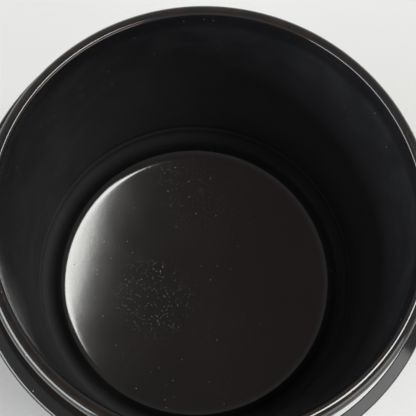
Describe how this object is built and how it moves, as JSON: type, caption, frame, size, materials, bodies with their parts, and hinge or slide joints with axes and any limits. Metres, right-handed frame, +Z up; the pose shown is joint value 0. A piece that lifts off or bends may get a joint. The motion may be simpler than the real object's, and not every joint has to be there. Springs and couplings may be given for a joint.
{
  "type": "candle jar",
  "caption": "Empty round glazed stoneware candle jar with a rounded lip, a short neck for a slip lid, a turned shoulder and a bare foot ring.",
  "frame": {"origin": "on the jar's axis, in the plane of the foot ring that it stands on", "axes": "+Z up along the jar's axis, towards the mouth; the jar is round, so X and Y are free"},
  "size_m": [0.0878, 0.0878, 0.078],
  "materials": {
    "stoneware": "matte",
    "liner_glaze": "gloss",
    "outer_glaze": "gloss"
  },
  "bodies": {
    "root": {"stoneware_body": "stoneware", "liner_glaze": "liner_glaze", "outer_glaze": "outer_glaze"}
  },
  "joints": []
}
